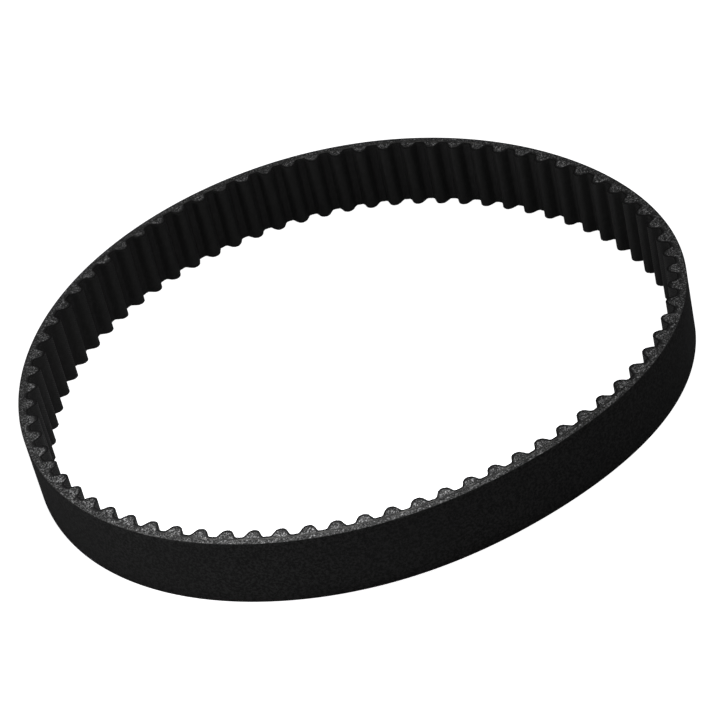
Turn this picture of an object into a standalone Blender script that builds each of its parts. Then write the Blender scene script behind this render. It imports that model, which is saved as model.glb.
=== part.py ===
"""An endless timing belt standing relaxed on one cut edge, built from its real layers.

The belt's pitch line is a closed curve of TOOTH_COUNT pitches. Every layer is drawn at its own
height above or below that line, so the layers nest: backing rubber outside, then two helical
tension cords, then the tooth rubber, then the woven facing that covers the teeth.
Metres, +Z up along the belt's width, origin at the middle of the loop on the surface it stands on.
"""

import math

import bpy
import numpy as np

# Driving dimensions of a curved-tooth belt of 5 mm pitch.
TOOTH_COUNT = 75
TOOTH_PITCH = 0.005
BELT_WIDTH = 0.014
LAND_THICKNESS = 0.00185  # from the outer back to the land between two teeth
TOOTH_HEIGHT = 0.0018  # from the land to the tip
TIP_RADIUS = 0.00131
FLANK_SLOPE = math.radians(29)  # of a flank from the tooth's own axis
ROOT_RADIUS = 0.00053
PITCH_LINE_ABOVE_LAND = 0.00057  # the cords' centre line

# Layers.
FACING_THICKNESS = 0.0002
WEB_THICKNESS = 0.00008  # tooth rubber left between facing and cords at a land
CORD_DIAMETER = 0.0005
CORD_SPACING = 0.001  # from one strand to the next across the belt
EDGE_LIP = 0.0002  # rubber outside the last strand at each cut edge
LAYER_GAP = 0.00002  # between bonded layers, which would touch

# Shape of the relaxed loop: (cosine, sine) share of the mean radius, by number of lobes.
RELAXED_LOBES = {
    2: (0.0488, 0.0159),
    3: (0.0129, -0.0121),
    4: (0.0030, -0.0037),
    5: (0.0019, -0.0023),
    6: (-0.0010, -0.0008),
}
FIRST_LAND = 0.947  # pitches from the loop's +X end to the first land's middle

# How finely the curves are drawn.
CURVE_SAMPLES = 7200
TIP_STEPS = 6
ROOT_STEPS = 2

# Worked out from the above.
PITCH_LENGTH = TOOTH_COUNT * TOOTH_PITCH
LAND = -PITCH_LINE_ABOVE_LAND
WEB_INNER = LAND + FACING_THICKNESS + LAYER_GAP
WEB_OUTER = WEB_INNER + WEB_THICKNESS
CORD_RADIUS = CORD_DIAMETER / 2
CHANNEL_FLOOR = CORD_RADIUS + LAYER_GAP
OUTER_BACK = LAND + LAND_THICKNESS
CORD_LEAD = 2 * CORD_SPACING  # the two cords are wound side by side
CORD_TURNS = 6.5
CORD_START = (BELT_WIDTH - CORD_TURNS * CORD_LEAD) / 2
TIP_CENTRE = LAND - TOOTH_HEIGHT + TIP_RADIUS
ROOT_CENTRE = LAND - ROOT_RADIUS
ROOT_OFFSET = (  # from the tooth's axis to a root fillet's centre
    TIP_RADIUS + ROOT_RADIUS + (ROOT_CENTRE - TIP_CENTRE) * math.sin(FLANK_SLOPE)
) / math.cos(FLANK_SLOPE)


def clear_scene():
    for obj in list(bpy.data.objects):
        bpy.data.objects.remove(obj)


def new_collection(name):
    collection = bpy.data.collections.new(name)
    bpy.context.scene.collection.children.link(collection)
    return collection


def loop_samples():
    """Points of the pitch line and its outward normals, closed, with the arc length of each."""
    angle = np.linspace(0, 2 * np.pi, CURVE_SAMPLES + 1)
    radius = np.ones_like(angle)
    for lobes, (cosine, sine) in RELAXED_LOBES.items():
        radius += cosine * np.cos(lobes * angle) + sine * np.sin(lobes * angle)
    points = np.stack([radius * np.cos(angle), radius * np.sin(angle)], axis=1)
    steps = np.linalg.norm(np.diff(points, axis=0), axis=1)
    length = np.concatenate([[0], np.cumsum(steps)])
    points *= PITCH_LENGTH / length[-1]
    length *= PITCH_LENGTH / length[-1]
    ahead = np.roll(points[:-1], -1, axis=0) - np.roll(points[:-1], 1, axis=0)
    ahead /= np.linalg.norm(ahead, axis=1)[:, None]
    normals = np.stack([ahead[:, 1], -ahead[:, 0]], axis=1)
    normals = np.concatenate([normals, normals[:1]])
    outer = points + OUTER_BACK * normals
    points -= (outer.max(axis=0) + outer.min(axis=0)) / 2
    return length, points, normals


LOOP = loop_samples()


def on_loop(along, height):
    """The point a distance along the pitch line from the first land, at a height outwards from it."""
    length, points, normals = LOOP
    at = (along + FIRST_LAND * TOOTH_PITCH) % PITCH_LENGTH
    x, y = (np.interp(at, length, points[:, i]) for i in range(2))
    out_x, out_y = (np.interp(at, length, normals[:, i]) for i in range(2))
    return float(x + height * out_x), float(y + height * out_y)


def smooth_outline(height):
    """A closed outline with one corner over the middle of each land."""
    return [on_loop(land * TOOTH_PITCH, height) for land in range(TOOTH_COUNT)]


def tooth_profile(depth):
    """(along, height) corners of one tooth from root to root, a depth behind the pulley side.

    A round tip runs on into straight sloping flanks, and a fillet joins each flank to its land.
    """
    middle = TOOTH_PITCH / 2
    tip = TIP_RADIUS - depth
    root = ROOT_RADIUS + depth
    tip_turn = math.pi - 2 * FLANK_SLOPE
    fillet_turn = math.pi / 2 - FLANK_SLOPE
    fillet = []
    for step in range(ROOT_STEPS + 1):
        angle = fillet_turn * step / ROOT_STEPS
        fillet.append((ROOT_OFFSET - root * math.sin(angle), ROOT_CENTRE + root * math.cos(angle)))
    corners = [(middle - across, height) for across, height in fillet]
    for step in range(TIP_STEPS + 1):
        angle = FLANK_SLOPE + tip_turn * step / TIP_STEPS
        corners.append((middle - tip * math.cos(angle), TIP_CENTRE - tip * math.sin(angle)))
    corners += [(middle + across, height) for across, height in reversed(fillet)]
    return corners


def toothed_outline(depth):
    """A closed outline of all the teeth, a depth behind the surface that meets a pulley."""
    profile = tooth_profile(depth)
    return [
        on_loop(tooth * TOOTH_PITCH + along, height)
        for tooth in range(TOOTH_COUNT)
        for along, height in profile
    ]


def add_spline(curve, points, closed=True):
    spline = curve.splines.new("POLY")
    spline.points.add(len(points) - 1)
    for corner, place in zip(spline.points, points):
        corner.co = (*place, 0, 1) if len(place) == 2 else (*place, 1)
    spline.use_cyclic_u = closed
    return spline


def material(name, colour, roughness):
    made = bpy.data.materials.new(name)
    made.use_nodes = True
    shader = made.node_tree.nodes["Principled BSDF"]
    shader.inputs["Base Color"].default_value = (*colour, 1)
    shader.inputs["Roughness"].default_value = roughness
    shader.inputs["Metallic"].default_value = 0
    return made


def add_curve(name, dimensions, collection, surface=None):
    curve = bpy.data.curves.new(name, "CURVE")
    curve.dimensions = dimensions
    obj = bpy.data.objects.new(name, curve)
    collection.objects.link(obj)
    if surface:
        curve.materials.append(surface)
    return obj, curve


def add_edge_cut_ring(name, outer, inner, surface, collection):
    """A layer between two outlines, cut square at both edges of the belt."""
    obj, curve = add_curve(name, "2D", collection, surface)
    curve.fill_mode = "BOTH"
    curve.extrude = BELT_WIDTH / 2
    add_spline(curve, outer)
    add_spline(curve, inner)
    obj.location.z = BELT_WIDTH / 2
    return obj


def backing_section(collection):
    """The backing's section: a flat back, and lips that close the cords' channel at each edge."""
    obj, curve = add_curve("backing_section", "2D", collection)
    half = BELT_WIDTH / 2
    inside = half - EDGE_LIP
    lip = WEB_OUTER + LAYER_GAP
    corners = [
        (OUTER_BACK, -half),
        (OUTER_BACK, half),
        (lip, half),
        (lip, inside),
        (CHANNEL_FLOOR, inside),
        (CHANNEL_FLOOR, -inside),
        (lip, -inside),
        (lip, -half),
    ]
    add_spline(curve, [(-height, z) for height, z in corners])  # swept with its +X into the loop
    obj.hide_render = True
    obj.display_type = "WIRE"
    return obj


def add_backing(collection, guides):
    obj, curve = add_curve(
        "backing_rubber", "2D", collection, material("backing_rubber", (0.018, 0.018, 0.019), 0.75)
    )
    add_spline(curve, smooth_outline(0))
    curve.bevel_mode = "OBJECT"
    curve.bevel_object = backing_section(guides)
    obj.location.z = BELT_WIDTH / 2
    return obj


def add_cord(name, first_land, collection):
    """One tension cord, wound from the lower edge to the upper, starting over a chosen land."""
    obj, curve = add_curve(name, "3D", collection, material(name, (0.62, 0.58, 0.46), 0.6))
    steps = round(CORD_TURNS * TOOTH_COUNT)
    rise = CORD_LEAD / TOOTH_COUNT
    winding = [
        (*on_loop((first_land + step) * TOOTH_PITCH, 0), CORD_START + rise * step)
        for step in range(steps + 1)
    ]
    add_spline(curve, winding, closed=False)
    curve.bevel_depth = CORD_RADIUS
    curve.bevel_resolution = 0
    curve.use_fill_caps = True
    return obj


def main():
    clear_scene()
    belt = new_collection("timing_belt")
    guides = new_collection("guides")
    add_backing(belt, guides)
    add_cord("tension_cord_s_twist", 0, belt)
    add_cord("tension_cord_z_twist", TOOTH_COUNT // 2, belt)
    add_edge_cut_ring(
        "tooth_rubber",
        smooth_outline(WEB_OUTER),
        toothed_outline(FACING_THICKNESS + LAYER_GAP),
        material("tooth_rubber", (0.060, 0.060, 0.062), 0.85),
        belt,
    )
    add_edge_cut_ring(
        "tooth_facing",
        toothed_outline(FACING_THICKNESS),
        toothed_outline(0),
        material("tooth_facing", (0.012, 0.012, 0.012), 0.7),
        belt,
    )


main()
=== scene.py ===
"""The timing belt's looks: fine layers with rough cut edges, cords sliced at the cuts, and a studio.

Every layer is a closed ring that follows the same relaxed pitch line as the CAD nodes it stands for.
Lengths are in metres. Texture coordinates are in millimetres.
"""

import math

import bpy
import numpy as np
from mathutils import Matrix, Vector


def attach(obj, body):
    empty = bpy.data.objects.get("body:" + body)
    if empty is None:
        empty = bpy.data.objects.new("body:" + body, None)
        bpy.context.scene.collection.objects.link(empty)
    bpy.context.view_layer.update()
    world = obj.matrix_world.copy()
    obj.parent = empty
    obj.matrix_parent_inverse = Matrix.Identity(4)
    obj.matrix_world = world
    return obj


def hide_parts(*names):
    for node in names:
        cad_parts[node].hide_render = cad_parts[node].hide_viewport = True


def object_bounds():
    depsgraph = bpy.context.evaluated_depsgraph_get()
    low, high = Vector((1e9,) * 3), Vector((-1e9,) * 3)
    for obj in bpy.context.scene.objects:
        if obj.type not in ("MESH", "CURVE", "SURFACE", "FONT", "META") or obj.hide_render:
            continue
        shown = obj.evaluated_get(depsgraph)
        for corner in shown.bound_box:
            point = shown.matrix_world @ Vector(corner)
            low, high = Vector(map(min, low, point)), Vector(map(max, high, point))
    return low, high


MM = 0.001

# The belt's design, as in the CAD model.
TOOTH_COUNT = 75
TOOTH_PITCH = 5 * MM
LAND_THICKNESS = 1.85 * MM  # from the outer back to the land between two teeth
TOOTH_HEIGHT = 1.8 * MM  # from the land to the tip
TIP_RADIUS = 1.31 * MM
FLANK_SLOPE = 29.0  # degrees, of a flank from the tooth's own axis
ROOT_RADIUS = 0.53 * MM
PITCH_LINE_ABOVE_LAND = 0.57 * MM  # the cords' centre line
FACING_THICKNESS = 0.2 * MM
CORD_RADIUS = 0.25 * MM
CORD_LEAD = 2 * MM  # the two cords are wound side by side, 1 mm apart
CORD_TURNS = 6.5

# Shape of the relaxed loop: (cosine, sine) share of the mean radius, by number of lobes.
RELAXED_LOBES = {
    2: (0.0488, 0.0159),
    3: (0.0129, -0.0121),
    4: (0.0030, -0.0037),
    5: (0.0019, -0.0023),
    6: (-0.0010, -0.0008),
}
FIRST_LAND = 0.947  # pitches from the loop's +X end to the first land's middle

# Worked out from the above: heights are outwards from the pitch line.
PITCH_LENGTH = TOOTH_COUNT * TOOTH_PITCH
LAND = -PITCH_LINE_ABOVE_LAND
OUTER_BACK = LAND + LAND_THICKNESS
TIP_CENTRE = LAND - TOOTH_HEIGHT + TIP_RADIUS
ROOT_CENTRE = LAND - ROOT_RADIUS
ROOT_OFFSET = (
    TIP_RADIUS + ROOT_RADIUS + (ROOT_CENTRE - TIP_CENTRE) * math.sin(math.radians(FLANK_SLOPE))
) / math.cos(math.radians(FLANK_SLOPE))

# Surface detail.
CUT_RELIEF = 0.045 * MM  # roughness of a knife-cut edge
EDGE_ROUNDING = 0.10 * MM  # of the back's two corners
CORNER_DARKENING = 2.6  # per mm: how fast the cut edge is painted darker towards the back's corner
FACING_FRAY = 0.02 * MM  # spread of the facing's loose thread ends
CORD_TWIST = 2.6 * MM  # length of one full twist of a cord
CORD_FLUTING = 0.05  # depth of the twist's three lobes, as a share of the cord's radius
WARP_SPACING = 0.30  # of the facing's threads, in mm
WEFT_SPACING = 0.26

# How finely the shapes are drawn.
LOOP_SAMPLES = 7200
BACKING_STATIONS = 1125
TIP_STEPS = 14
ROOT_STEPS = 5
STRAIGHT_STEPS = 2  # along a flank, and from a root to the middle of its land
CORD_SIDES = 16
CUT_CORD_STEP = 0.3 * MM  # along a cord where it runs out of a cut edge

# Studio. Each lamp: place, target, (length, width), watts.
TABLE_WHITE = 0.90  # the table's colour to the camera
TABLE_BOUNCE = 0.35  # and to the light that it gives back to the belt
TABLE_GLOW = 0.90
WORLD_LIGHT = 0.12
LAMPS = {
    "overhead": ((0.35, 0.05, 0.60), (0, 0, 0), (0.8, 0.8), 1.30),
    "near_strip": ((-0.021, -0.050, 0.062), (-0.021, -0.052, 0.0), (0.064, 0.012), 0.043),
    "left_front": ((-0.72, -0.28, 0.09), (0, 0, 0.01), (0.35, 0.16), 1.20),
    "front": ((0.25, -0.70, 0.20), (0, 0, 0.01), (0.5, 0.3), 0.36),
    "back_rim": ((-0.25, 0.55, 0.30), (-0.02, 0.03, 0.01), (0.5, 0.2), 0.60),
}

# Camera: aimed a little off the loop's middle, and rolled. Degrees, metres, and a lens in mm.
CAMERA_ELEVATION = 37.90
CAMERA_ROLL = -13.85
CAMERA_DISTANCE = 0.5578
CAMERA_LENS = 147.48
AIM_RIGHT = 1.76 * MM
AIM_DOWN = 1.43 * MM

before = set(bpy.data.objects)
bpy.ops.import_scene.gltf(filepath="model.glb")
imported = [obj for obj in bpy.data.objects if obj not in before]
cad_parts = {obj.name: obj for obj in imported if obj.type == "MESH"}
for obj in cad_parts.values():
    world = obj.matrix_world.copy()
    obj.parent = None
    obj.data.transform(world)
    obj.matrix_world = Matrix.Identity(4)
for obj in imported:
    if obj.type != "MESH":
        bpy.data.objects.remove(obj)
cad_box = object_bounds()
WIDTH = cad_box[1].z - cad_box[0].z
rng = np.random.default_rng(375)


# ---------------------------------------------------------------- the relaxed loop


def loop_samples():
    """Arc lengths, points and outward normals of the pitch line, and the shift that centres its box."""
    angle = np.linspace(0, 2 * np.pi, LOOP_SAMPLES + 1)
    radius = np.ones_like(angle)
    for lobes, (cosine, sine) in RELAXED_LOBES.items():
        radius += cosine * np.cos(lobes * angle) + sine * np.sin(lobes * angle)
    points = np.stack([radius * np.cos(angle), radius * np.sin(angle)], axis=1)
    steps = np.linalg.norm(np.diff(points, axis=0), axis=1)
    length = np.concatenate([[0], np.cumsum(steps)])
    points *= PITCH_LENGTH / length[-1]
    length *= PITCH_LENGTH / length[-1]
    ahead = np.roll(points[:-1], -1, axis=0) - np.roll(points[:-1], 1, axis=0)
    ahead /= np.linalg.norm(ahead, axis=1)[:, None]
    normals = np.stack([ahead[:, 1], -ahead[:, 0]], axis=1)
    normals = np.concatenate([normals, normals[:1]])
    outer = points + OUTER_BACK * normals
    shift = -(outer.max(axis=0) + outer.min(axis=0)) / 2
    return length, points + shift, normals, shift


LENGTH, POINTS, NORMALS, LOOP_SHIFT = loop_samples()


def on_loop(along, height):
    """x and y of points at distances along the pitch line from the first land, at heights outwards."""
    at = (np.asarray(along) + FIRST_LAND * TOOTH_PITCH) % PITCH_LENGTH
    place = [np.interp(at, LENGTH, POINTS[:, i]) for i in range(2)]
    out = [np.interp(at, LENGTH, NORMALS[:, i]) for i in range(2)]
    return np.stack([place[i] + height * out[i] for i in range(2)], axis=-1)


# ---------------------------------------------------------------- one tooth's outline


def arc(centre, radius, start, end, steps):
    """Points along a circle, from a start to an end angle in degrees."""
    turn = np.radians(np.linspace(start, end, steps + 1))
    return np.stack([centre[0] + radius * np.cos(turn), centre[1] + radius * np.sin(turn)], axis=1)


def tooth_outline(depth):
    """(along, height) corners over one pitch, land middle to land middle, a depth behind the face."""
    middle = TOOTH_PITCH / 2
    tip = arc((middle, TIP_CENTRE), TIP_RADIUS - depth, 180 + FLANK_SLOPE, 360 - FLANK_SLOPE, TIP_STEPS)
    root = ROOT_RADIUS + depth
    left = arc((middle - ROOT_OFFSET, ROOT_CENTRE), root, 90, FLANK_SLOPE, ROOT_STEPS)
    right = arc((middle + ROOT_OFFSET, ROOT_CENTRE), root, 180 - FLANK_SLOPE, 90, ROOT_STEPS)
    flat = np.array([[0, LAND + depth], [TOOTH_PITCH, LAND + depth]])
    return np.concatenate([
        np.linspace(flat[0], left[0], STRAIGHT_STEPS + 1)[:-1],
        left,
        np.linspace(left[-1], tip[0], STRAIGHT_STEPS + 1)[1:-1],
        tip,
        np.linspace(tip[-1], right[0], STRAIGHT_STEPS + 1)[1:-1],
        right,
        np.linspace(right[-1], flat[1], STRAIGHT_STEPS + 1)[1:-1],
    ])


def all_round(outline):
    """One pitch's (along, height) corners repeated for every tooth."""
    start = np.arange(TOOTH_COUNT)[:, None] * TOOTH_PITCH
    along = (start + outline[None, :, 0]).ravel()
    return along, np.tile(outline[:, 1], TOOTH_COUNT)


# ---------------------------------------------------------------- closed meshes


def grid_quads(here, ahead, beside, columns):
    """Quads over a grid of points, from each (station, column) to the station ahead and column beside."""
    i, j = here
    return np.stack(
        [i * columns + j, ahead * columns + j, ahead * columns + beside, i * columns + beside], 1
    )


def outward(verts, faces):
    """Quads turned so that the closed mesh faces out."""
    a, b, c, d = (verts[faces[:, i]] for i in range(4))
    volume = np.einsum("ij,ij->", a, np.cross(b, c)) + np.einsum("ij,ij->", a, np.cross(c, d))
    return faces if volume > 0 else faces[:, ::-1]


def ring_object(name, grid, lay, paint, materials):
    """A closed ring from a grid of points (stations round the loop, columns round the section).

    lay gives each point's texture place in mm, with one more station that closes the loop, and
    paint gives each column's material.
    """
    stations, columns = grid.shape[:2]
    i, j = np.meshgrid(np.arange(stations), np.arange(columns), indexing="ij")
    i, j = i.ravel(), j.ravel()
    beside = (j + 1) % columns
    faces = grid_quads((i, j), (i + 1) % stations, beside, columns)
    places = np.stack([lay[i, j], lay[i + 1, j], lay[i + 1, beside], lay[i, beside]], 1)
    verts = grid.reshape(-1, 3)
    turned = outward(verts, faces)
    if turned is not faces:
        places = places[:, ::-1]
    mesh = bpy.data.meshes.new(name)
    mesh.from_pydata(verts.tolist(), [], turned.tolist())
    mesh.polygons.foreach_set("material_index", np.asarray(paint, np.int32)[j])
    attribute = mesh.attributes.new("lay", "FLOAT_VECTOR", "CORNER")
    attribute.data.foreach_set("vector", places.astype(np.float32).ravel())
    for surface in materials:
        mesh.materials.append(surface)
    mesh.shade_smooth()
    mesh.set_sharp_from_angle(angle=math.radians(35))
    mesh.validate()
    obj = bpy.data.objects.new(name, mesh)
    bpy.context.scene.collection.objects.link(obj)
    return obj


def closed_lay(along, across, depth):
    """Texture places for ring_object, with the closing station a whole turn further on."""
    lay = np.stack(np.broadcast_arrays(along, across, depth), axis=-1)
    closing = lay[:1].copy()
    closing[..., 0] = lay[-1, 0, 0] + lay[1, 0, 0] - lay[0, 0, 0]
    return np.concatenate([lay, closing]) / MM


def cut_relief(shape, top):
    """Random unevenness of a cut edge, always inside the belt's width."""
    rough = rng.random(shape) * CUT_RELIEF
    return WIDTH - rough if top else rough


# ---------------------------------------------------------------- the layers


def build_backing(back_surface, cut_surface):
    """The smooth outer band: a ground back, softly rounded into two cut edges."""
    along = np.arange(BACKING_STATIONS) * PITCH_LENGTH / BACKING_STATIONS
    corner = OUTER_BACK - EDGE_ROUNDING
    cut = np.linspace(0, corner, 6)
    low_edge = arc((corner, EDGE_ROUNDING), EDGE_ROUNDING, -60, 0, 2)
    high_edge = arc((corner, WIDTH - EDGE_ROUNDING), EDGE_ROUNDING, 0, 60, 2)
    across = np.linspace(EDGE_ROUNDING, WIDTH - EDGE_ROUNDING, 12)[1:-1]
    back = np.full(len(across), OUTER_BACK)
    top = np.full(len(cut), WIDTH)
    height = np.concatenate([cut, low_edge[:, 0], back, high_edge[:, 0], cut[::-1]])
    z = np.concatenate([np.zeros(len(cut)), low_edge[:, 1], across, high_edge[:, 1], top])
    grid = np.zeros((BACKING_STATIONS, len(height), 3))
    for column, (out, up) in enumerate(zip(height, z)):
        grid[:, column, :2] = on_loop(along, out)
        grid[:, column, 2] = up
    inner = len(cut)
    grid[:, :inner, 2] = cut_relief((BACKING_STATIONS, inner), top=False)
    grid[:, -inner:, 2] = cut_relief((BACKING_STATIONS, inner), top=True)
    lay = closed_lay(along[:, None], grid[:, :, 2], height[None, :])
    paint = [1] * inner + [0] * (len(height) - 2 * inner) + [1] * inner
    return ring_object("backing_rubber_fine", grid, lay, paint, [back_surface, cut_surface])


def build_tooth_rubber(cut_surface):
    """The toothed core, whose cut edges show between the facing and the backing."""
    along, height = all_round(tooth_outline(FACING_THICKNESS))
    even = np.arange(len(along)) * PITCH_LENGTH / len(along)
    outer_along = 0.9 * along + 0.1 * even  # spreads the corners a little on the smooth side
    inner = on_loop(along, height)
    outer = on_loop(outer_along, 0)
    shares = np.linspace(0, 1, 10)
    columns = 2 * len(shares)
    grid = np.zeros((len(along), columns, 3))
    for column, share in enumerate(shares):
        flat = inner + (outer - inner) * share
        grid[:, column, :2] = flat
        grid[:, columns - 1 - column, :2] = flat
    grid[:, : len(shares), 2] = cut_relief((len(along), len(shares)), top=False)
    grid[:, len(shares) :, 2] = cut_relief((len(along), len(shares)), top=True)
    reach = np.linalg.norm(outer - inner, axis=1)[:, None]
    from_facing = reach * np.concatenate([shares, shares[::-1]])[None]
    lay = closed_lay(outer_along[:, None], grid[:, :, 2], from_facing)
    return ring_object("tooth_rubber_fine", grid, lay, [0] * columns, [cut_surface])


def build_facing(weave_surface, cut_surface):
    """The woven nylon skin over teeth and lands, a little frayed where it is cut."""
    face_along, face_height = all_round(tooth_outline(0))
    back_along, back_height = all_round(tooth_outline(FACING_THICKNESS))
    face = on_loop(face_along, face_height)
    back = on_loop(back_along, back_height)
    run = np.concatenate([[0], np.cumsum(np.linalg.norm(np.diff(face, axis=0), axis=1))])
    inset = np.array([0, 0.12, 0.4, 1.2, 2.6, 4.4, 6.2]) * MM
    across = np.concatenate([inset, WIDTH - inset[::-1]])  # columns crowd towards the cut edges
    count = len(across)
    depth = np.concatenate([np.zeros(count), [0.5, 1], [1, 0.5]])
    z = np.concatenate([across, [WIDTH, WIDTH], [0, 0]])
    grid = np.zeros((len(face), len(z), 3))
    for column in range(len(z)):
        grid[:, column, :2] = face + (back - face) * depth[column]
        grid[:, column, 2] = z[column]
    inward = (face - back) / np.linalg.norm(face - back, axis=1)[:, None]
    for column in (0, count - 1):  # the face's own two edges
        fray = rng.normal(0, 1, len(face))[:, None] * FACING_FRAY
        grid[:, column, :2] += inward * fray
    for column in (0, count + 2, count + 3):
        grid[:, column, 2] = cut_relief(len(face), top=False)
    for column in (count - 1, count, count + 1):
        grid[:, column, 2] = cut_relief(len(face), top=True)
    lay = closed_lay(run[:, None], grid[:, :, 2], depth[None] * MM)
    paint = [0] * (count - 1) + [1, 1] + [0] + [1, 1]
    return ring_object("tooth_facing_fine", grid, lay, paint, [weave_surface, cut_surface])


def cord_section(centre_z, sides, lobes):
    """(outward, z) corners of a cord's section, sliced flat where it passes a cut edge of the belt."""
    turn = np.arange(sides) * 2 * np.pi / sides
    out = lobes * np.cos(turn)
    up = centre_z + lobes * np.sin(turn)
    for limit, side in ((WIDTH, 1), (0.0, -1)):
        room = side * (limit - centre_z)
        if room >= CORD_RADIUS:
            continue
        start = math.asin(max(-1.0, room / CORD_RADIUS))
        reach = CORD_RADIUS * math.cos(start)
        share = (((side * turn) % (2 * np.pi)) - start) / (np.pi - 2 * start)
        cut = (share > 0) & (share < 1)
        out = np.where(cut, reach * (1 - 2 * share), out)
        up = np.where(cut, limit, up)
    return out, np.clip(up, 0.0, WIDTH)


def wind_cord(first_land, twist):
    """Points and texture places of a cord's skin: a helix that runs on until it leaves both edges."""
    sides = CORD_SIDES
    inside = CORD_TURNS * PITCH_LENGTH
    start_z = (WIDTH - CORD_TURNS * CORD_LEAD) / 2
    overrun = PITCH_LENGTH * (start_z + CORD_RADIUS * 0.985) / CORD_LEAD
    fine = np.arange(-overrun, 0, CUT_CORD_STEP)
    coarse = np.arange(0, inside, TOOTH_PITCH / 2)
    run = np.concatenate([fine, coarse, inside - fine[::-1]])
    middle = on_loop(run + first_land * TOOTH_PITCH, 0)
    outer = on_loop(run + first_land * TOOTH_PITCH, MM) - middle
    outer /= np.linalg.norm(outer, axis=1)[:, None]
    turn = np.arange(sides) * 2 * np.pi / sides
    verts = np.zeros((len(run), sides, 3))
    lay = np.zeros((len(run), sides, 3))
    for station, distance in enumerate(run):
        spin = twist * distance / CORD_TWIST * 2 * np.pi
        lobes = CORD_RADIUS * (1 - CORD_FLUTING + CORD_FLUTING * np.cos(3 * (turn - spin)))
        out, up = cord_section(start_z + CORD_LEAD * distance / PITCH_LENGTH, sides, lobes)
        verts[station, :, :2] = middle[station] + outer[station] * out[:, None]
        verts[station, :, 2] = up
        lay[station] = np.stack([np.full(sides, distance), out, up], axis=1)
    return verts, lay


def build_cord(name, first_land, twist, surface):
    """One tension cord: a tube through the whole width, sliced where it runs out of each edge."""
    verts, lay = wind_cord(first_land, twist)
    stations, sides = verts.shape[:2]
    i, j = np.meshgrid(np.arange(stations - 1), np.arange(sides), indexing="ij")
    i, j = i.ravel(), j.ravel()
    flat = verts.reshape(-1, 3)
    faces = outward(flat, grid_quads((i, j), i + 1, (j + 1) % sides, sides)).tolist()
    kept_order = faces[0][:2] == [0, sides]  # the quads were not turned, so the caps stay too
    first_cap = list(range(sides))
    last_cap = list(range(len(flat) - sides, len(flat)))
    faces.append(first_cap if kept_order else first_cap[::-1])
    faces.append(last_cap[::-1] if kept_order else last_cap)
    mesh = bpy.data.meshes.new(name)
    mesh.from_pydata(flat.tolist(), [], faces)
    attribute = mesh.attributes.new("lay", "FLOAT_VECTOR", "POINT")
    attribute.data.foreach_set("vector", (lay / MM).astype(np.float32).ravel())
    mesh.materials.append(surface)
    mesh.shade_smooth()
    mesh.set_sharp_from_angle(angle=math.radians(50))
    obj = bpy.data.objects.new(name, mesh)
    bpy.context.scene.collection.objects.link(obj)
    return obj


# ---------------------------------------------------------------- material helpers


class Nodes:
    """A material's node tree, written as formulas."""

    def __init__(self, name):
        self.material = bpy.data.materials.new(name)
        self.material.use_nodes = True
        self.tree = self.material.node_tree
        self.shader = self.tree.nodes["Principled BSDF"]

    def node(self, kind, **settings):
        made = self.tree.nodes.new(kind)
        for key, value in settings.items():
            setattr(made, key, value)
        return made

    def link(self, value, socket):
        if isinstance(value, bpy.types.NodeSocket):
            self.tree.links.new(value, socket)
        else:
            socket.default_value = value

    def math(self, operation, a, b=0.0, c=0.0):
        made = self.node("ShaderNodeMath", operation=operation)
        for socket, value in zip(made.inputs, (a, b, c)):
            self.link(value, socket)
        return made.outputs[0]

    def millimetres(self):
        """The row frame's coordinates, in millimetres."""
        coordinates = self.node("ShaderNodeTexCoord").outputs["Object"]
        return self.scaled(coordinates, (1000, 1000, 1000))

    def lay(self):
        """The layer's own coordinates in millimetres: along, across, depth."""
        return self.node("ShaderNodeAttribute", attribute_name="lay").outputs["Vector"]

    def scaled(self, vector, factors, turn=0.0):
        made = self.node("ShaderNodeMapping")
        self.link(vector, made.inputs["Vector"])
        made.inputs["Scale"].default_value = factors
        made.inputs["Rotation"].default_value = (0, 0, turn)
        return made.outputs[0]

    def noise(self, vector, scale, detail=2.0, roughness=0.5):
        made = self.node("ShaderNodeTexNoise")
        self.link(vector, made.inputs["Vector"])
        made.inputs["Scale"].default_value = scale
        made.inputs["Detail"].default_value = detail
        made.inputs["Roughness"].default_value = roughness
        return made.outputs["Fac"]

    def ramp(self, value, *stops):
        """A grey or colour ramp through (position, colour) stops."""
        made = self.node("ShaderNodeValToRGB")
        self.link(value, made.inputs[0])
        elements = made.color_ramp.elements
        while len(elements) < len(stops):
            elements.new(0.5)
        for element, (position, colour) in zip(elements, stops):
            element.position = position
            shade = colour if isinstance(colour, tuple) else (colour, colour, colour)
            element.color = (*shade, 1)
        return made.outputs[0]

    def mix(self, share, a, b):
        made = self.node("ShaderNodeMix", data_type="RGBA")
        self.link(share, made.inputs[0])
        self.link(a, made.inputs[6])
        self.link(b, made.inputs[7])
        return made.outputs[2]

    def bump(self, height, strength, distance):
        made = self.node("ShaderNodeBump")
        made.inputs["Strength"].default_value = strength
        made.inputs["Distance"].default_value = distance
        self.link(height, made.inputs["Height"])
        self.link(made.outputs[0], self.shader.inputs["Normal"])

    def finish(self, colour, roughness, specular, **constants):
        self.link(colour, self.shader.inputs["Base Color"])
        self.link(roughness, self.shader.inputs["Roughness"])
        self.shader.inputs["Specular IOR Level"].default_value = specular
        for name, value in constants.items():
            self.shader.inputs[name.replace("_", " ")].default_value = value
        return self.material


def grey(value):
    return (value, value, value * 1.02, 1)


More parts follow.
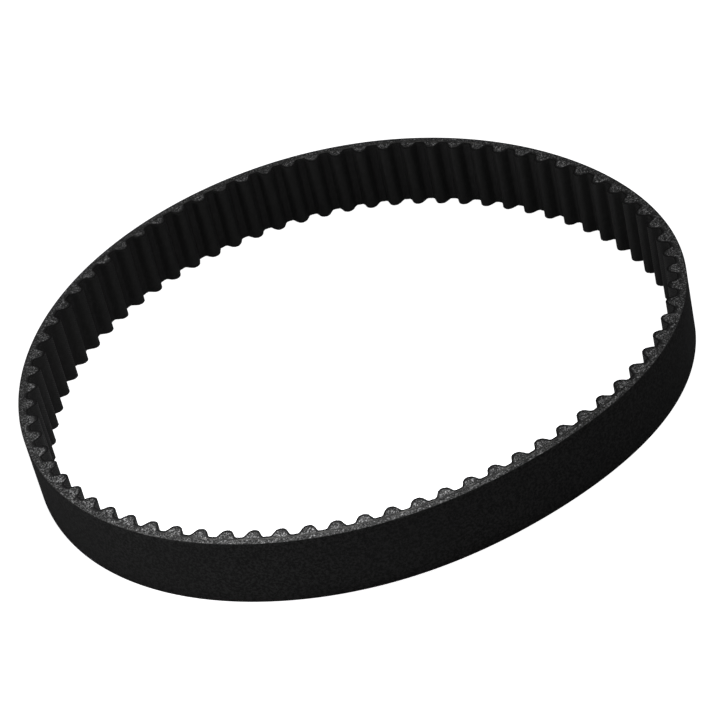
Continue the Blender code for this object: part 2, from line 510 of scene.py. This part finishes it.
def ground_rubber():
    """The outer back: matt black, with faint grinding lines round the belt and a dusty mottle."""
    n = Nodes("ground_black_rubber")
    lay = n.lay()
    lines = n.noise(n.scaled(lay, (0.12, 5, 1)), 1.0, 3)
    grain = n.noise(n.millimetres(), 2.0, 4, 0.8)
    cloud = n.noise(n.millimetres(), 0.06, 3)
    shade = n.ramp(grain, (0.44, 0.0050), (0.58, 0.0240))
    dusty = n.mix(n.ramp(cloud, (0.45, 0.0), (0.75, 0.3)), shade, grey(0.017))
    roughness = n.ramp(cloud, (0.3, 0.62), (0.7, 0.74))
    height = n.math("MULTIPLY_ADD", lines, 0.5, grain)
    n.bump(height, 0.35, 0.03 * MM)
    return n.finish(dusty, roughness, 0.15)


def fibre_ends(n, place, density):
    """Short pale pieces of cut fibre lying every way in a cut edge: 1 on a fibre, 0 off it."""
    dots = n.noise(place, 2.6, 1)
    runs = [
        n.noise(n.scaled(place, (5.6, 2.0, 3), turn), 1.0, 1)
        for turn in (0.35, 1.25, 2.3)
    ]
    most = n.math("MAXIMUM", dots, n.math("MAXIMUM", runs[0], n.math("MAXIMUM", runs[1], runs[2])))
    threshold = 0.74 - density
    return n.ramp(most, (threshold, 0.0), (threshold + 0.05, 1.0))


def cut_grain(n, place, dark, middle, light):
    """The grain of cut rubber: dark pits, a middle tone and torn pale crumbs, in drifting patches."""
    grain = n.noise(place, 2.6, 4, 0.75)
    patch = n.noise(place, 0.30, 2)
    shade = n.ramp(grain, (0.43, dark), (0.52, middle), (0.61, light))
    share = n.ramp(patch, (0.40, 0.0), (0.65, 0.40))
    return grain, n.mix(share, shade, grey(dark * 2))


def cut_backing():
    """The backing's cut edge: grainy, soaked black over the lands, and painted darker towards the back's
    corner.
    """
    n = Nodes("cut_backing_rubber")
    place = n.millimetres()
    axes = n.node("ShaderNodeSeparateXYZ")
    n.link(n.lay(), axes.inputs[0])
    height = axes.outputs[2]
    grain, tone = cut_grain(n, place, 0.008, 0.034, 0.150)
    fibres = fibre_ends(n, place, 0.065)
    flecked = n.mix(n.math("MULTIPLY", fibres, 0.7), tone, grey(0.36))
    from_land = n.math("PINGPONG", axes.outputs[0], TOOTH_PITCH / 2 / MM)
    near_land = n.ramp(from_land, (0.6, 1.0), (0.95, 0.0))
    soaked = n.ramp(n.math("MULTIPLY_ADD", grain, 0.2, height), (0.15, 1.0), (0.40, 0.0))
    soaked = n.math("MULTIPLY", near_land, soaked)
    corner = OUTER_BACK / MM
    # The colour is painted darker over the last 0.4 mm of the cut edge before the back's corner.
    towards_corner = n.math("MAXIMUM", 0.0, n.math("MULTIPLY_ADD", height, CORNER_DARKENING, 1 - CORNER_DARKENING * corner))
    colour = n.mix(n.math("MAXIMUM", soaked, n.math("MULTIPLY", towards_corner, 0.6)), flecked, grey(0.010))
    roughness = n.ramp(grain, (0.3, 0.50), (0.7, 0.70))
    n.bump(grain, 0.5, 0.05 * MM)
    return n.finish(colour, roughness, 0.13)


def cut_teeth():
    """The teeth's cut edge: grainy grey rubber with cut fibres, black where the facing soaks in."""
    n = Nodes("cut_tooth_rubber")
    place = n.millimetres()
    axes = n.node("ShaderNodeSeparateXYZ")
    n.link(n.lay(), axes.inputs[0])
    depth = axes.outputs[2]
    grain, tone = cut_grain(n, place, 0.008, 0.040, 0.175)
    fibres = fibre_ends(n, place, 0.085)
    flecked = n.mix(n.math("MULTIPLY", fibres, 0.75), tone, grey(0.42))
    soaked = n.ramp(n.math("MULTIPLY_ADD", grain, 0.20, depth), (0.30, 1.0), (0.80, 0.0))
    colour = n.mix(soaked, flecked, grey(0.012))
    roughness = n.mix(soaked, n.ramp(grain, (0.3, 0.50), (0.7, 0.72)), grey(0.95))
    n.bump(n.math("MULTIPLY_ADD", fibres, 0.3, grain), 0.6, 0.06 * MM)
    return n.finish(colour, roughness, 0.13)


def woven_nylon():
    """The facing: black nylon threads in a fine plain weave, with a dull sheen and a little lint."""
    n = Nodes("woven_black_nylon")
    axes = n.node("ShaderNodeSeparateXYZ")
    n.link(n.lay(), axes.inputs[0])
    warp = n.math("DIVIDE", axes.outputs[0], WARP_SPACING)
    weft = n.math("DIVIDE", axes.outputs[1], WEFT_SPACING)
    over = n.math("MODULO", n.math("ADD", n.math("FLOOR", warp), n.math("FLOOR", weft)), 2.0)
    warp_hump = n.math("SINE", n.math("MULTIPLY", n.math("FRACT", warp), math.pi))
    weft_hump = n.math("SINE", n.math("MULTIPLY", n.math("FRACT", weft), math.pi))
    lifted = n.math("MULTIPLY", over, warp_hump)
    lowered = n.math("MULTIPLY", n.math("SUBTRACT", 1.0, over), weft_hump)
    threads = n.math("ADD", lifted, lowered)
    place = n.millimetres()
    fuzz = n.noise(place, 6.0, 3, 0.7)
    cloud = n.noise(place, 0.22, 3)
    shade = n.ramp(threads, (0.1, 0.0040), (0.9, 0.0105))
    dusty = n.mix(n.ramp(fuzz, (0.5, 0.0), (0.8, 0.45)), shade, grey(0.020))
    lint = n.ramp(n.noise(place, 1.3, 4, 0.75), (0.50, 0.0), (0.68, 0.55))
    linted = n.mix(lint, dusty, grey(0.024))
    colour = n.mix(n.ramp(cloud, (0.45, 0.0), (0.75, 0.3)), linted, grey(0.005))
    roughness = n.ramp(fuzz, (0.3, 0.42), (0.7, 0.62))
    n.bump(n.math("MULTIPLY_ADD", fuzz, 0.4, threads), 0.6, 0.05 * MM)
    return n.finish(colour, roughness, 0.30, Sheen_Weight=0.02, Sheen_Roughness=0.4)


def cut_nylon():
    """The facing's cut edge: a dark line of thread ends."""
    n = Nodes("cut_black_nylon")
    ends = n.noise(n.millimetres(), 7.0, 2)
    colour = n.ramp(ends, (0.4, 0.005), (0.8, 0.016))
    roughness = n.ramp(ends, (0.3, 0.7), (0.7, 0.9))
    n.bump(ends, 0.5, 0.04 * MM)
    return n.finish(colour, roughness, 0.06)


def sliced_cord():
    """Glass-fibre cord in its dark adhesive: pale broken filaments where the cut has opened it."""
    n = Nodes("sliced_glass_cord")
    lay = n.lay()
    strands = n.noise(n.scaled(lay, (0.7, 22, 6)), 1.0, 3, 0.6)
    smear = n.noise(n.scaled(lay, (0.25, 3, 3)), 1.0, 3, 0.6)
    shade = n.ramp(strands, (0.44, 0.016), (0.68, (0.26, 0.256, 0.245)))
    colour = n.mix(n.ramp(smear, (0.46, 1.0), (0.62, 0.0)), shade, grey(0.022))
    roughness = n.ramp(strands, (0.3, 0.65), (0.7, 0.4))
    n.bump(strands, 0.6, 0.04 * MM)
    return n.finish(colour, roughness, 0.12)


# ---------------------------------------------------------------- the studio


def build_floor():
    """A plain white light table. It glows to the camera only, so the belt's shadow stays faint."""
    bpy.ops.mesh.primitive_plane_add(size=8, location=(0, 0, -0.02 * MM))
    floor = bpy.context.object
    floor.name = "floor"
    n = Nodes("white_table")
    seen = n.node("ShaderNodeLightPath").outputs["Is Camera Ray"]
    n.link(n.mix(seen, grey(TABLE_BOUNCE), grey(TABLE_WHITE)), n.shader.inputs["Base Color"])
    n.shader.inputs["Roughness"].default_value = 0.9
    n.shader.inputs["Specular IOR Level"].default_value = 0.0
    n.shader.inputs["Emission Color"].default_value = (1, 1, 1, 1)
    n.link(n.math("MULTIPLY", seen, TABLE_GLOW), n.shader.inputs["Emission Strength"])
    floor.data.materials.append(n.material)


def build_world():
    """An even white surround, dimmer as light than it is to look at."""
    world = bpy.data.worlds.new("studio")
    bpy.context.scene.world = world
    world.use_nodes = True
    tree = world.node_tree
    background = tree.nodes["Background"]
    seen = tree.nodes.new("ShaderNodeLightPath").outputs["Is Camera Ray"]
    strength = tree.nodes.new("ShaderNodeMath")
    strength.operation = "MULTIPLY_ADD"
    strength.inputs[1].default_value = 1 - WORLD_LIGHT
    strength.inputs[2].default_value = WORLD_LIGHT
    tree.links.new(seen, strength.inputs[0])
    tree.links.new(strength.outputs[0], background.inputs["Strength"])
    background.inputs["Color"].default_value = (1, 1, 1, 1)


def add_softbox(name, place, target, size, power):
    lamp = bpy.data.lights.new(name, "AREA")
    lamp.shape = "RECTANGLE"
    lamp.size, lamp.size_y = size
    lamp.energy = power
    obj = bpy.data.objects.new(name, lamp)
    bpy.context.scene.collection.objects.link(obj)
    obj.location = place
    obj.visible_camera = False
    obj.rotation_euler = (Vector(target) - Vector(place)).to_track_quat("-Z", "Y").to_euler()


def build_lights():
    for name, (place, target, size, power) in LAMPS.items():
        add_softbox(name, place, target, size, power)


def build_camera():
    """Looks down at the loop's own middle from the front, aimed and rolled as the constants say."""
    elevation, roll = math.radians(CAMERA_ELEVATION), math.radians(CAMERA_ROLL)
    back = Vector((0, -math.cos(elevation), math.sin(elevation)))
    right = Vector((1, 0, 0))
    up = back.cross(right)
    turned_right = math.cos(roll) * right + math.sin(roll) * up
    turned_up = -math.sin(roll) * right + math.cos(roll) * up
    centre = Vector((LOOP_SHIFT[0], LOOP_SHIFT[1], WIDTH / 2))
    place = centre + back * CAMERA_DISTANCE
    aim = centre + turned_right * AIM_RIGHT - turned_up * AIM_DOWN
    behind = (place - aim).normalized()
    side = (turned_right - behind * turned_right.dot(behind)).normalized()
    top = behind.cross(side)
    data = bpy.data.cameras.new("camera")
    data.lens = CAMERA_LENS
    data.sensor_width = 36
    data.clip_start = 0.01
    camera = bpy.data.objects.new("camera", data)
    bpy.context.scene.collection.objects.link(camera)
    rotation = Matrix((side, top, behind)).transposed()
    camera.matrix_world = Matrix.Translation(place) @ rotation.to_4x4()
    bpy.context.scene.camera = camera


# ---------------------------------------------------------------- put together


def place_piece(piece, node):
    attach(piece, "root")
    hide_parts(node)


def main():
    build_camera()
    back = ground_rubber()
    cord = sliced_cord()
    place_piece(build_backing(back, cut_backing()), "backing_rubber")
    place_piece(build_tooth_rubber(cut_teeth()), "tooth_rubber")
    place_piece(build_facing(woven_nylon(), cut_nylon()), "tooth_facing")
    for name, first_land, twist in (("s", 0, 1), ("z", TOOTH_COUNT // 2, -1)):
        node = f"tension_cord_{name}_twist"
        place_piece(build_cord(f"{node}_fine", first_land, twist, cord), node)
    build_floor()
    build_world()
    build_lights()
    bpy.context.scene.view_settings.view_transform = "Standard"


main()
